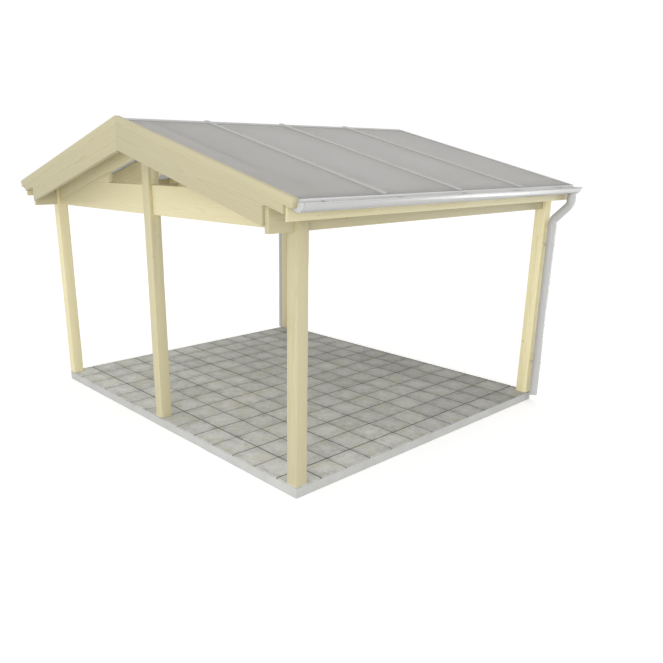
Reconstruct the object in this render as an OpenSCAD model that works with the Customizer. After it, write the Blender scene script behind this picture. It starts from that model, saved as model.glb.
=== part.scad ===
// Gable-roofed timber sunroom frame on a tiled slab.
// X runs across the gable, -Y is the open gable end and +Y is the house wall.
// Z = 0 is the underside of the slab, X = 0 is the ridge and Y = 0 is half way along.

/* [Floor] */
// Width of the floor across the gable
floor_w = 4200; // [3400:10:5200]
// Length of the floor from the gable to the house wall
floor_l = 3610; // [2900:10:4500]
// Thickness of the concrete slab
slab_t = 88; // [60:1:150]
// Thickness of the floor tiles and their bed
tile_t = 12; // [8:1:20]

/* [Posts and beams] */
// Side of the square posts
post_s = 115; // [95:1:140]
// Thickness of every plate, tie beam and rafter
beam_t = 45; // [36:1:56]
// Clear height from the tiles to the underside of the wall plates
clear_h = 2030; // [1700:5:2500]
// Depth of the wall plates
plate_h = 195; // [170:5:235]
// Depth of the tie beams
tie_h = 270; // [220:5:310]
// Depth of the rafters, square to the slope
rafter_h = 245; // [200:5:270]
// Depth of the rafter tails past the plates, square to the slope
tail_h = 95; // [80:1:120]
// Width of the wedge packers that close the corners over the tie beams
packer_w = 400; // [300:10:500]
// Distance of the ridge board's underside above that of the rafters
ridge_up = 20; // [5:1:40]

/* [Roof] */
// Slope of the roof in degrees
pitch = 14.5; // [12:0.5:18]
// Distance from the slab's front edge to the face of the front rafters
front_reach = 262; // [180:1:320]
// Distance from the posts' outer faces to the ends of the rafter tails
eaves_reach = 140; // [110:1:180]
// Setback of the plate and fascia ends behind the face of the front rafters
end_setback = 22; // [10:1:30]
// Sheets on each slope
sheet_n = 4; // [3:1:5]
// Thickness of the roof sheets
sheet_t = 16; // [10:1:20]
// Distance that the sheets run out past the fascia
sheet_reach = 45; // [30:1:55]
// Gap between two sheets, where the cover profile's web stands
joint_w = 10; // [8:1:14]
// Gap between the two slopes at the ridge
ridge_gap = 8; // [4:1:12]
// Depth of the gable trim, square to the slope
trim_h = 70; // [60:1:85]
// Rise of the gable trim above the roof sheets
trim_rise = 20; // [10:1:30]
// Distance that the gable trim runs out past the rafter tails
trim_reach = 106; // [80:1:120]
// Thickness of the fascia boards
fascia_t = 22; // [18:1:28]
// Depth of the fascia boards
fascia_h = 145; // [120:5:170]

/* [Cover profiles] */
// Width of a cover profile
cover_w = 60; // [50:1:70]
// Height of a cover profile above the sheets
cover_h = 12; // [8:1:16]
// Height of a cover profile's two edges
cover_lip = 3; // [2:1:5]
// Width of the flat on top of a cover profile
cover_flat = 36; // [24:1:44]
// Width of a ridge strip on each slope
strip_w = 70; // [50:1:90]
// Thickness of the ridge strips
strip_t = 3; // [2:0.5:5]

/* [Gutters and downpipes] */
// Outer diameter of the half-round gutters
gutter_d = 136; // [100:1:150]
// Wall of the gutters and downpipes
gutter_t = 3; // [2:0.5:4]
// Gap between the fascia and the gutter
gutter_gap = 8; // [4:1:15]
// Height of the fascia above the gutter's rim
gutter_drop = 15; // [15:1:30]
// Height of the gutter's back edge above its rim
back_rise = 8; // [4:1:10]
// Diameter of the rolled bead on the gutter's rim
bead_d = 10; // [8:1:18]
// Lengths that make up each gutter
gutter_n = 4; // [4:1:6]
// Hangers along each gutter
hanger_n = 5; // [3:1:7]
// Width of a gutter hanger
hanger_w = 25; // [20:1:35]
// Distance of the end hangers from the gutter's ends
hanger_inset = 260; // [180:5:400]
// Thickness of a gutter hanger
hanger_t = 3; // [2:0.5:5]
// Outer diameter of the downpipes
pipe_d = 87; // [70:1:100]
// Gap between a post and its downpipe
pipe_gap = 22; // [12:1:40]
// Length of the straight outlet under a gutter
outlet_l = 70; // [40:1:80]
// Radius of the bends in a downpipe, at the pipe's centre
bend_r = 75; // [60:1:100]
// Turn of each bend in degrees
bend_a = 45; // [35:1:50]
// Height of a downpipe's open end above the ground
pipe_end = 90; // [60:5:200]
// Width of a pipe clip
clip_w = 20; // [15:1:30]
// Thickness of a pipe clip's band
clip_t = 3; // [2:0.5:5]
// Clearance of a pipe clip round the pipe
clip_fit = 0.3; // [0.2:0.1:0.6]
// Height of the lower pipe clip above the tiles
clip_low = 350; // [250:10:600]
// Height of the upper pipe clip above the tiles
clip_high = 1650; // [1200:10:1850]

/* [Hidden] */
$fn = 64;

GUTTERS = [for (side = ["left", "right"], i = [1 : gutter_n]) str("gutter_", side, "_", i)];

// Colours
timber = "#dcd3a8";
concrete = "#c4c4c0";
tile = "#a3a49c";
sheet_grey = "#adadab";
metal = "#d2d1d0";

// Lengthwise stations
front_y = -(floor_l + front_reach) / 2;
back_y = -front_y;
floor_front_y = front_y + front_reach;
rafter_back_y = front_y + beam_t;
plate_front_y = front_y + end_setback;
slot_in = (post_s - beam_t) / 2;
bay_l = (back_y - front_y - beam_t) / sheet_n;
first_joint_y = front_y + beam_t / 2;
pipe_y = back_y - post_s / 2;
front_slot_y = floor_front_y + slot_in;
back_slot_y = back_y - slot_in - beam_t;
gutter_l = (back_y - rafter_back_y) / gutter_n;
first_hanger_y = rafter_back_y + hanger_inset;
hanger_gap = (back_y - hanger_inset - first_hanger_y) / (hanger_n - 1);

// Distances from the ridge
half_w = floor_w / 2;
plate_out_x = half_w - slot_in;
plate_in_x = plate_out_x - beam_t;
tail_x = half_w + eaves_reach;
fascia_x = tail_x + fascia_t;
trim_x = tail_x + trim_reach;
sheet_x = fascia_x + sheet_reach;
ridge_x = beam_t / 2;
gutter_r = gutter_d / 2;
gutter_x = fascia_x + gutter_gap + gutter_r;
pipe_x = half_w + pipe_gap + pipe_d / 2;

// Heights
floor_z = slab_t + tile_t;
beam_z = floor_z + clear_h;
plate_z = beam_z + plate_h;
tie_z = beam_z + tie_h;
roof_apex = plate_z + tail_h / cos(pitch) + plate_out_x * tan(pitch);
fascia_z = roof_z(fascia_x);
gutter_z = fascia_z - gutter_drop;
neck_z = gutter_z - gutter_r - outlet_l;

// Swan neck: length of its slanting run, and height where the straight run starts
slant_l = (gutter_x - pipe_x - 2 * bend_r * (1 - cos(bend_a))) / sin(bend_a);
drop_z = neck_z - 2 * bend_r * sin(bend_a) - slant_l * cos(bend_a);

// Height of the rafters' top line at a distance from the ridge
function roof_z(x) = roof_apex - x * tan(pitch);
// Height of the rafters' underside at a distance from the ridge
function under_z(x) = roof_z(x) - rafter_h / cos(pitch);
// Distance from the ridge where the rafters' underside is at a height
function under_x(z) = (under_z(0) - z) / tan(pitch);
// Station of a sheet joint, counted from the front rafter
function joint_y(i) = first_joint_y + i * bay_l;
// Point on the slope at a distance from the ridge, raised square to the slope
function on_slope(x, up) = [x + up * sin(pitch), roof_z(x) + up * cos(pitch)];

// An outline in X and Z, drawn out along Y
module along_y(y0, y1) {
    translate([0, y1, 0])
        rotate([90, 0, 0])
            linear_extrude(height = y1 - y0) children();
}

// The left-hand twin of a right-hand piece
module hand(side) {
    if (side < 0) mirror([1, 0, 0]) children();
    else children();
}

module box(x0, x1, y0, y1, z0, z1) {
    translate([x0, y0, z0]) cube([x1 - x0, y1 - y0, z1 - z0]);
}

// ---- Floor ----

module floor_slab() {
    color(concrete) box(-half_w, half_w, floor_front_y, back_y, 0, slab_t);
}

module floor_tiles() {
    color(tile) box(-half_w, half_w, floor_front_y, back_y, slab_t, floor_z);
}

// ---- Posts ----

// Corner post, forked at the top for the wall plate and the tie beam
module corner_post(side, y0) {
    cheek_z = plate_z - slot_in * tan(pitch);
    slot_y = y0 + slot_in;
    color(timber)
        hand(side)
            difference() {
                box(half_w - post_s, half_w, y0, y0 + post_s, floor_z, cheek_z);
                box(plate_in_x, plate_out_x, y0 - 1, y0 + post_s + 1, beam_z, plate_z);
                box(half_w - post_s - 1, plate_in_x + 1, slot_y, slot_y + beam_t, beam_z, plate_z);
            }
}

// Middle post, whose two cheeks pass the tie beam and carry the ridge board
module post_front_middle() {
    cheek_z = under_z(0) + ridge_up;
    slot_y = floor_front_y + slot_in;
    color(timber)
        difference() {
            box(-post_s / 2, post_s / 2, floor_front_y, floor_front_y + post_s, floor_z, cheek_z);
            box(-post_s, post_s, slot_y, slot_y + beam_t, beam_z, roof_apex);
        }
}

// ---- Plates, tie beams and ridge ----

module wall_plate(side) {
    color(timber)
        hand(side)
            box(plate_in_x, plate_out_x, plate_front_y, back_y, beam_z, plate_z);
}

// Tie beam between the wall plates, its top corners cut to the rafters' slope
module tie_beam(y0) {
    color(timber)
        along_y(y0, y0 + beam_t)
            polygon([
                [-plate_in_x, beam_z],
                [plate_in_x, beam_z],
                [plate_in_x, under_z(plate_in_x)],
                [under_x(tie_z), tie_z],
                [-under_x(tie_z), tie_z],
                [-plate_in_x, under_z(plate_in_x)]
            ]);
}

// Wedges in the sharp corners between the tie beams and the rafters
module gable_packers() {
    inner_x = under_x(tie_z) - packer_w;
    color(timber)
        for (side = [-1, 1], y = [front_slot_y, back_slot_y])
            hand(side)
                along_y(y, y + beam_t)
                    polygon([
                        [inner_x, tie_z],
                        [under_x(tie_z), tie_z],
                        [inner_x, under_z(inner_x)]
                    ]);
}

// King post from the tie beam to the apex
module king_post(y0) {
    color(timber)
        along_y(y0, y0 + beam_t)
            polygon([
                [-post_s / 2, tie_z],
                [post_s / 2, tie_z],
                [post_s / 2, under_z(post_s / 2)],
                [ridge_x, under_z(ridge_x)],
                [-ridge_x, under_z(ridge_x)],
                [-post_s / 2, under_z(post_s / 2)]
            ]);
}

module ridge_board() {
    color(timber)
        along_y(rafter_back_y, back_y)
            polygon([
                [-ridge_x, under_z(0) + ridge_up],
                [ridge_x, under_z(0) + ridge_up],
                [ridge_x, roof_z(ridge_x)],
                [0, roof_apex],
                [-ridge_x, roof_z(ridge_x)]
            ]);
}

// ---- Rafters ----

// Side view of a right-hand rafter: inner_x is where it starts and cut is how
// far its top lies below the roof line, square to the slope
module rafter_outline(inner_x, cut) {
    polygon([
        [inner_x, roof_z(inner_x) - cut / cos(pitch)],
        [tail_x, roof_z(tail_x) - cut / cos(pitch)],
        [tail_x, roof_z(tail_x) - tail_h / cos(pitch)],
        [plate_out_x, plate_z],
        [plate_in_x, plate_z],
        [plate_in_x, under_z(plate_in_x)],
        [inner_x, under_z(inner_x)]
    ]);
}

module rafter(side, y0) {
    color(timber)
        hand(side)
            along_y(y0, y0 + beam_t)
                rafter_outline(ridge_x, 0);
}

// Front rafter in front of the ridge board's end, with the gable trim on top
module front_rafter(side) {
    cut = trim_h - sheet_t - trim_rise;
    color(timber)
        hand(side)
            along_y(front_y, rafter_back_y)
                rafter_outline(0, cut);
}

module inner_rafters(side) {
    for (i = [1 : sheet_n - 1])
        rafter(side, joint_y(i) - beam_t / 2);
}

// Batten that hides the edge of the roof and runs out over the gutter's end
module gable_trim(side) {
    top = sheet_t + trim_rise;
    color(timber)
        hand(side)
            along_y(front_y, rafter_back_y)
                polygon([
                    [0, roof_apex + top / cos(pitch)],
                    on_slope(trim_x - top * sin(pitch), top),
                    on_slope(trim_x - top * sin(pitch), top - trim_h),
                    [0, roof_apex + (top - trim_h) / cos(pitch)]
                ]);
}

// Fascia over the rafter tails, which carries the gutter and stops under the trim
module fascia(side) {
    trim_z = roof_z(fascia_x) - (trim_h - sheet_t - trim_rise) / cos(pitch);
    color(timber)
        hand(side) {
            box(tail_x, fascia_x, rafter_back_y, back_y, fascia_z - fascia_h, fascia_z);
            box(tail_x, fascia_x, plate_front_y, rafter_back_y, fascia_z - fascia_h, trim_z);
        }
}

// ---- Roof sheets and profiles ----

module roof_sheet(i) {
    y0 = i == 1 ? rafter_back_y : joint_y(i - 1) + joint_w / 2;
    y1 = i == sheet_n ? back_y - cover_lip : joint_y(i) - joint_w / 2;
    along_y(y0, y1)
        polygon([
            [ridge_gap / 2, roof_z(ridge_gap / 2)],
            [sheet_x, roof_z(sheet_x)],
            on_slope(sheet_x, sheet_t),
            [ridge_gap / 2, roof_z(ridge_gap / 2) + sheet_t / cos(pitch)]
        ]);
}

module roof_sheets(side) {
    color(sheet_grey)
        hand(side)
            for (i = [1 : sheet_n]) roof_sheet(i);
}

// A profile lying on the slope: its outline is across Y and square to the slope,
// and it runs from the ridge to the sheets' ends
module down_slope() {
    run = sheet_x / cos(pitch);
    intersection() {
        translate([0, 0, roof_apex])
            rotate([0, pitch, 0])
                translate([-post_s, 0, 0])
                    rotate([90, 0, 90])
                        linear_extrude(height = run + post_s) children();
        box(0, sheet_x + post_s, front_y, back_y, 0, roof_apex + post_s);
    }
}

// Cover profile with a web that stands between two sheets
module cover_profile(y) {
    down_slope()
        polygon([
            [y - cover_w / 2, sheet_t],
            [y - joint_w / 4, sheet_t],
            [y - joint_w / 4, 0],
            [y + joint_w / 4, 0],
            [y + joint_w / 4, sheet_t],
            [y + cover_w / 2, sheet_t],
            [y + cover_w / 2, sheet_t + cover_lip],
            [y + cover_flat / 2, sheet_t + cover_h],
            [y - cover_flat / 2, sheet_t + cover_h],
            [y - cover_w / 2, sheet_t + cover_lip]
        ]);
}

// Flat edge profile that closes the sheets at the house wall
module edge_profile() {
    down_slope()
        polygon([
            [back_y - cover_w, sheet_t],
            [back_y - cover_lip, sheet_t],
            [back_y - cover_lip, 0],
            [back_y, 0],
            [back_y, sheet_t + cover_lip],
            [back_y - cover_w, sheet_t + cover_lip]
        ]);
}

module cover_profiles(side) {
    color(metal)
        hand(side) {
            for (i = [1 : sheet_n - 1]) cover_profile(joint_y(i));
            edge_profile();
        }
}

// Folded strips over the ridge, one between each two profiles
module ridge_strips() {
    color(metal)
        for (i = [1 : sheet_n]) {
            y0 = i == 1 ? rafter_back_y : joint_y(i - 1) + cover_w / 2;
            y1 = i == sheet_n ? back_y - cover_w : joint_y(i) - cover_w / 2;
            end_low = on_slope(strip_w, sheet_t);
            end_high = on_slope(strip_w, sheet_t + strip_t);
            along_y(y0, y1)
                polygon([
                    [0, roof_apex + sheet_t / cos(pitch)],
                    end_low,
                    end_high,
                    [0, roof_apex + (sheet_t + strip_t) / cos(pitch)],
                    [-end_high[0], end_high[1]],
                    [-end_low[0], end_low[1]]
                ]);
        }
}

// ---- Gutters and downpipes ----

module half_disc(r) {
    intersection() {
        circle(r);
        translate([-r, -r]) square([2 * r, r]);
    }
}

// One length of a gutter, counted from the gable
module gutter(side, i) {
    start_y = rafter_back_y + (i - 1) * gutter_l;
    color(metal)
        hand(side)
            intersection() {
                whole_gutter();
                box(fascia_x, gutter_x + gutter_d, start_y, start_y + gutter_l,
                    neck_z - outlet_l, fascia_z);
            }
}

// Half-round gutter with closed ends, a raised back edge that the hangers pass
// through, a rolled bead in front and an outlet over the pipe
module whole_gutter() {
    back_x = gutter_x - gutter_r;
    difference() {
        union() {
            gutter_trough();
            box(back_x, back_x + gutter_t, rafter_back_y, back_y, gutter_z, gutter_z + back_rise);
            translate([gutter_x, 0, gutter_z])
                along_y(rafter_back_y, back_y)
                    translate([gutter_r, -bead_d / 2]) circle(d = bead_d);
        }
        for (i = [1 : hanger_n]) hanger(i);
        translate([gutter_x, pipe_y, gutter_z - gutter_d])
            cylinder(h = gutter_d, d = pipe_d - 2 * gutter_t);
    }
}

// The gutter's half-round body with its outlet, before the outlet is bored
module gutter_trough() {
    difference() {
        union() {
            translate([gutter_x, 0, gutter_z])
                along_y(rafter_back_y, back_y) half_disc(gutter_r);
            translate([gutter_x, pipe_y, neck_z])
                cylinder(h = outlet_l + gutter_r / 2, d = pipe_d);
        }
        translate([gutter_x, 0, gutter_z])
            along_y(rafter_back_y + gutter_t, back_y - gutter_t)
                half_disc(gutter_r - gutter_t);
    }
}

// One hanger across a gutter, counted from the gable
module hanger(i) {
    y = first_hanger_y + (i - 1) * hanger_gap;
    box(fascia_x, gutter_x + gutter_r, y - hanger_w / 2, y + hanger_w / 2,
        gutter_z, gutter_z + hanger_t);
}

// Flat hangers from the fascias to the gutters' rims, hidden under the sheets
module gutter_hangers() {
    color(metal)
        for (side = [-1, 1], i = [1 : hanger_n])
            hand(side)
                hanger(i);
}

// A straight run down from the origin and a bend above it that turns towards +X
module elbow(d, run, more) {
    rotate([0, 180, 0])
        translate([-bend_r, 0, 0])
            rotate([-90, 0, 0])
                rotate_extrude(angle = bend_a)
                    translate([bend_r, 0]) circle(d = d);
    translate([0, 0, -run - more]) cylinder(h = run + more, d = d);
}

module elbow_pipe(run) {
    difference() {
        elbow(pipe_d, run, 0);
        elbow(pipe_d - 2 * gutter_t, run, 1);
    }
}

// Swan necks from the gutters' outlets in towards the posts
module swan_necks() {
    color(metal)
        for (side = [-1, 1])
            hand(side)
                translate([gutter_x - bend_r * (1 - cos(bend_a)), pipe_y, neck_z - bend_r * sin(bend_a)])
                    rotate([0, bend_a, 0])
                        rotate([0, 0, 180]) elbow_pipe(slant_l);
}

// Downpipe from the swan neck's end down beside the post
module downpipe(side) {
    color(metal)
        hand(side)
            translate([pipe_x, pipe_y, drop_z]) elbow_pipe(drop_z - pipe_end);
}

// Band round the pipe on a block against the post
module pipe_clip(z) {
    inner_r = pipe_d / 2 + clip_fit;
    difference() {
        union() {
            translate([pipe_x, pipe_y, z]) cylinder(h = clip_w, r = inner_r + clip_t);
            box(half_w, pipe_x, pipe_y - clip_w / 2, pipe_y + clip_w / 2, z, z + clip_w);
        }
        translate([pipe_x, pipe_y, z - 1]) cylinder(h = clip_w + 2, r = inner_r);
    }
}

module pipe_clips() {
    color(metal)
        for (side = [-1, 1], z = [clip_low, clip_high])
            hand(side)
                pipe_clip(floor_z + z);
}

floor_slab();
floor_tiles();
corner_post(-1, floor_front_y);  // post_front_left
post_front_middle();
corner_post(1, floor_front_y);  // post_front_right
corner_post(-1, back_y - post_s);  // post_back_left
corner_post(1, back_y - post_s);  // post_back_right
wall_plate(-1);  // wall_plate_left
wall_plate(1);  // wall_plate_right
tie_beam(front_slot_y);  // tie_beam_front
tie_beam(back_slot_y);  // tie_beam_back
king_post(front_slot_y);  // king_post_front
king_post(back_slot_y);  // king_post_back
ridge_board();
front_rafter(-1);  // front_rafter_left
front_rafter(1);  // front_rafter_right
rafter(-1, front_slot_y);  // gable_rafter_left
rafter(1, front_slot_y);  // gable_rafter_right
inner_rafters(-1);  // inner_rafters_left
inner_rafters(1);  // inner_rafters_right
rafter(-1, back_slot_y);  // back_rafter_left
rafter(1, back_slot_y);  // back_rafter_right
gable_packers();
gable_trim(-1);  // gable_trim_left
gable_trim(1);  // gable_trim_right
fascia(-1);  // fascia_left
fascia(1);  // fascia_right
roof_sheets(-1);  // roof_sheets_left
roof_sheets(1);  // roof_sheets_right
cover_profiles(-1);  // cover_profiles_left
cover_profiles(1);  // cover_profiles_right
ridge_strips();
for (i = [1 : gutter_n]) {
    gutter(-1, i);
    gutter(1, i);
}
gutter_hangers();
swan_necks();
downpipe(-1);  // downpipe_left
downpipe(1);  // downpipe_right
pipe_clips();
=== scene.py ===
"""Open timber sunroom frame on a tiled slab, built piece by piece round the CAD frame.

X runs across the gable, -Y is the open gable end, +Y is the house wall, Z is up.
Everything is in metres, in the same frame as the CAD model.
"""

import math
import random

import bpy
from mathutils import Matrix, Vector


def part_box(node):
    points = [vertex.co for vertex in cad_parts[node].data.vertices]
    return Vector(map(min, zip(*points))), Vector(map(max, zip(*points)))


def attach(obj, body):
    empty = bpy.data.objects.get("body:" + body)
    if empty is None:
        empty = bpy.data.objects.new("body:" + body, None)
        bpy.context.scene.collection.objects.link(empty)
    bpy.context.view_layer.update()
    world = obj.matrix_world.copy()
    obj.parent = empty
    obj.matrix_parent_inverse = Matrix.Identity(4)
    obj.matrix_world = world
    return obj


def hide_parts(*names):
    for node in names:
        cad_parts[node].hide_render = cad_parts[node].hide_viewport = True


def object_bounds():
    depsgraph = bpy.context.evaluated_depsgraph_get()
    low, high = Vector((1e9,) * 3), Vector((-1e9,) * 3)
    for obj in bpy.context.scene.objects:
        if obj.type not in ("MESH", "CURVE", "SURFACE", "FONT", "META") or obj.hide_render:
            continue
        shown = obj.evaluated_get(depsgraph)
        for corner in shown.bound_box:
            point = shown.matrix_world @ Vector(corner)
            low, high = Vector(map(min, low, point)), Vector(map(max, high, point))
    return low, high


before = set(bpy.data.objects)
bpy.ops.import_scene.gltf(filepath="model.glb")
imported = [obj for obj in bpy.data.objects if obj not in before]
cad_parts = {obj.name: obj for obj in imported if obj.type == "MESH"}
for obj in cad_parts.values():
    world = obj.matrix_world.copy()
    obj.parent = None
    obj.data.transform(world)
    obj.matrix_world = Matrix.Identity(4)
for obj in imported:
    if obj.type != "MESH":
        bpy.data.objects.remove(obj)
cad_low, cad_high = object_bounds()

# ---- Slab --------------------------------------------------------------------
# A flat slab of fine cast concrete with its arrises slightly rounded by the
# shutter's edge. It lies on the ground and carries the tiles and the posts.

slab_low, slab_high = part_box("floor_slab")
SLAB_ARRIS = 0.004


def only(piece):
    """Selects one piece alone and makes it the active one."""
    bpy.ops.object.select_all(action="DESELECT")
    piece.select_set(True)
    bpy.context.view_layer.objects.active = piece


def settle(piece):
    """Applies a piece's place, so that its object sits at the origin."""
    only(piece)
    bpy.ops.object.transform_apply(location=True, rotation=True, scale=True)


def block(name, low, high):
    """A cube primitive stretched between two corners, for shaping in edit mode."""
    bpy.ops.object.select_all(action="DESELECT")
    centre = [(a + b) / 2 for a, b in zip(low, high)]
    bpy.ops.mesh.primitive_cube_add(size=1, location=centre)
    piece = bpy.context.object
    piece.name = name
    piece.scale = [b - a for a, b in zip(low, high)]
    settle(piece)
    return piece


def ease_edges(piece, width, segments=2, angle=30):
    """Rounds a piece's sharp edges with an applied bevel, and shades it by angle."""
    only(piece)
    bevel = piece.modifiers.new("eased edges", "BEVEL")
    bevel.width = width
    bevel.segments = segments
    bevel.limit_method = "ANGLE"
    bevel.angle_limit = math.radians(angle)
    bpy.ops.object.modifier_apply(modifier=bevel.name)
    bpy.ops.object.shade_smooth_by_angle(angle=math.radians(angle + 5))


def colour(code):
    """An sRGB hex colour as linear red, green, blue and alpha."""
    parts = [int(code[i : i + 2], 16) / 255 for i in (1, 3, 5)]
    return [c / 12.92 if c <= 0.04045 else ((c + 0.055) / 1.055) ** 2.4 for c in parts] + [1.0]


def add(tree, kind, settings=None, inputs=None):
    """Adds a shader node with its settings, and its inputs as values or as links."""
    node = tree.nodes.new("ShaderNode" + kind)
    for name, value in (settings or {}).items():
        if name == "stops":
            while len(node.color_ramp.elements) < len(value):
                node.color_ramp.elements.new(0.5)
            for element, (place, shade) in zip(node.color_ramp.elements, value):
                element.position, element.color = place, shade
        else:
            setattr(node, name, value)
    for name, value in (inputs or {}).items():
        if isinstance(value, bpy.types.NodeSocket):
            tree.links.new(value, node.inputs[name])
        else:
            node.inputs[name].default_value = value
    return node


def new_material(name):
    """A new material and its empty node tree."""
    material = bpy.data.materials.new(name)
    material.use_nodes = True
    material.node_tree.nodes.clear()
    return material, material.node_tree


def grey(value):
    """A neutral colour of this linear brightness."""
    return (value, value, value, 1.0)


def paint(piece, material):
    """Gives a piece or a CAD node one material in all its slots."""
    if not piece.data.materials:
        piece.data.materials.append(material)
    for i in range(len(piece.data.materials)):
        piece.data.materials[i] = material
    return piece


# The sockets of a colour mix: how much, what lies below and above, and the result.
FACTOR, BELOW, ABOVE, MIXED = 0, 6, 7, 2

# Cast concrete: pale grey and matt, with cloudy patches, sand grain and a few air holes, which the bump sinks
# and a painted shade darkens.
concrete, tree = new_material("cast concrete")
place = add(tree, "TexCoord").outputs["Object"]
clouds = add(tree, "TexNoise", {}, {"Vector": place, "Scale": 3.0, "Detail": 6.0, "Roughness": 0.6})
grit = add(tree, "TexNoise", {}, {"Vector": place, "Scale": 160.0, "Detail": 3.0})
holes = add(tree, "TexVoronoi", {}, {"Vector": place, "Scale": 38.0, "Randomness": 1.0})
hole_depth_and_shade = add(tree, "MapRange", {},
                 {"Value": holes.outputs["Distance"], "From Min": 0.05, "From Max": 0.12})
cloud_colour = add(tree, "ValToRGB", {"stops": [(0.3, colour("#c2c2bf")), (0.7, colour("#d0d0ce"))]},
                   {"Fac": clouds.outputs["Fac"]}).outputs["Color"]
grit_colour = add(tree, "Mix", {"data_type": "RGBA", "blend_type": "MULTIPLY"},
                  {FACTOR: 0.25, BELOW: cloud_colour,
                   ABOVE: add(tree, "ValToRGB", {"stops": [(0.35, grey(0.78)), (0.62, grey(1.0))]},
                              {"Fac": grit.outputs["Fac"]}).outputs["Color"]})
# Painted shade: the air holes are painted darker.
slab_colour = add(tree, "Mix", {"data_type": "RGBA"},
                  {FACTOR: hole_depth_and_shade.outputs["Result"], BELOW: colour("#a3a3a0"),
                   ABOVE: grit_colour.outputs[MIXED]})
height = add(tree, "Math", {"operation": "MULTIPLY_ADD"},
             {0: grit.outputs["Fac"], 1: 0.25, 2: hole_depth_and_shade.outputs["Result"]})
relief = add(tree, "Bump", {}, {"Strength": 0.5, "Distance": 0.0012, "Height": height.outputs[0]})
shader = add(tree, "BsdfPrincipled", {},
             {"Base Color": slab_colour.outputs[MIXED], "Roughness": 0.86, "IOR": 1.5,
              "Normal": relief.outputs[0]})
add(tree, "OutputMaterial", {}, {"Surface": shader.outputs["BSDF"]})

slab = block("concrete_slab", slab_low, slab_high)
ease_edges(slab, SLAB_ARRIS, 3)
paint(slab, concrete)
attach(slab, "root")
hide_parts("floor_slab")

# ---- Tiles -------------------------------------------------------------------
# Square concrete tiles on centres of about 300 mm, with a fine worn arris. They lie
# in fours in a grey mortar bed, so that every second joint is the wider one.

bed_low, bed_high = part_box("floor_tiles")
TILE_SIZE = 0.3
TILE_PITCH_X, TILE_PITCH_Y = 0.304, 0.3004
FIRST_JOINT_X, FIRST_JOINT_Y = -1.790, -1.394
WIDE_JOINT, FINE_JOINT = 0.0130, 0.0100
JOINT_DEPTH, TILE_ARRIS = 0.003, 0.002
JOINT_NUMBERS, EDGE_MARGIN = range(-1, 16), 0.01
# Painted shade darkens the tiles towards the house, where the roof shades them; the spread is each tile's
# random tone.
PAINTED_SHADE_FALL, PAINTED_SHADE_SHAPE, OWN_SPREAD = 0.72, 1.5, 0.28
BED_INSET, BED_SUNK, BED_ARRIS = 0.0015, 0.003, 0.001


def joints(first, pitch, start, end):
    """The joints' middles and widths between two edges; every second one is wide."""
    found = []
    for k in JOINT_NUMBERS:
        middle = first + k * pitch
        if start + EDGE_MARGIN < middle < end - EDGE_MARGIN:
            found.append((middle, WIDE_JOINT if k % 2 == 0 else FINE_JOINT))
    return found


def spans(lines, start, end):
    """The clear lengths that these joints leave between two edges."""
    sides = [c for middle, width in lines for c in (middle - width / 2, middle + width / 2)]
    edges = [start] + sides + [end]
    return list(zip(edges[0::2], edges[1::2]))


def copied(model, name):
    """A copy of a piece with a mesh of its own."""
    piece = model.copy()
    piece.data = model.data.copy()
    piece.name = name
    bpy.context.collection.objects.link(piece)
    return piece


def joined(name, parts):
    """Joins parts into one piece."""
    bpy.ops.object.select_all(action="DESELECT")
    for part in parts:
        part.select_set(True)
    bpy.context.view_layer.objects.active = parts[0]
    bpy.ops.object.join()
    parts[0].name = name
    return parts[0]


columns = spans(joints(FIRST_JOINT_X, TILE_PITCH_X, bed_low.x, bed_high.x), bed_low.x, bed_high.x)
rows = spans(joints(FIRST_JOINT_Y, TILE_PITCH_Y, bed_low.y, bed_high.y), bed_low.y, bed_high.y)

half = TILE_SIZE / 2
tile_model = block("tile_model", (-half, -half, bed_low.z), (half, half, bed_high.z))
ease_edges(tile_model, TILE_ARRIS, 1)
rng = random.Random(14)
tiles = []
for x0, x1 in columns:
    for y0, y1 in rows:
        tile = copied(tile_model, "tile")
        uv = tile.data.uv_layers.active
        for loop in tile.data.loops:
            corner = tile.data.vertices[loop.vertex_index].co
            uv.data[loop.index].uv = (corner.x / TILE_SIZE + 0.5, corner.y / TILE_SIZE + 0.5)
        for vertex in tile.data.vertices:
            vertex.co.x += math.copysign(1, vertex.co.x) * ((x1 - x0) / 2 - half) + (x0 + x1) / 2
            vertex.co.y += math.copysign(1, vertex.co.y) * ((y1 - y0) / 2 - half) + (y0 + y1) / 2
        # The tone holds each tile's random tone and the painted shade towards the house.
        tone = tile.data.attributes.new("tone", "FLOAT", "POINT")
        inward = ((y0 + y1) / 2 - bed_low.y) / (bed_high.y - bed_low.y)
        shade = 1 - PAINTED_SHADE_FALL * inward ** PAINTED_SHADE_SHAPE - OWN_SPREAD * rng.random()
        tone.data.foreach_set("value", [shade] * len(tile.data.vertices))
        tiles.append(tile)
bpy.data.objects.remove(tile_model)
paving = joined("concrete_tiles", tiles)

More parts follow.
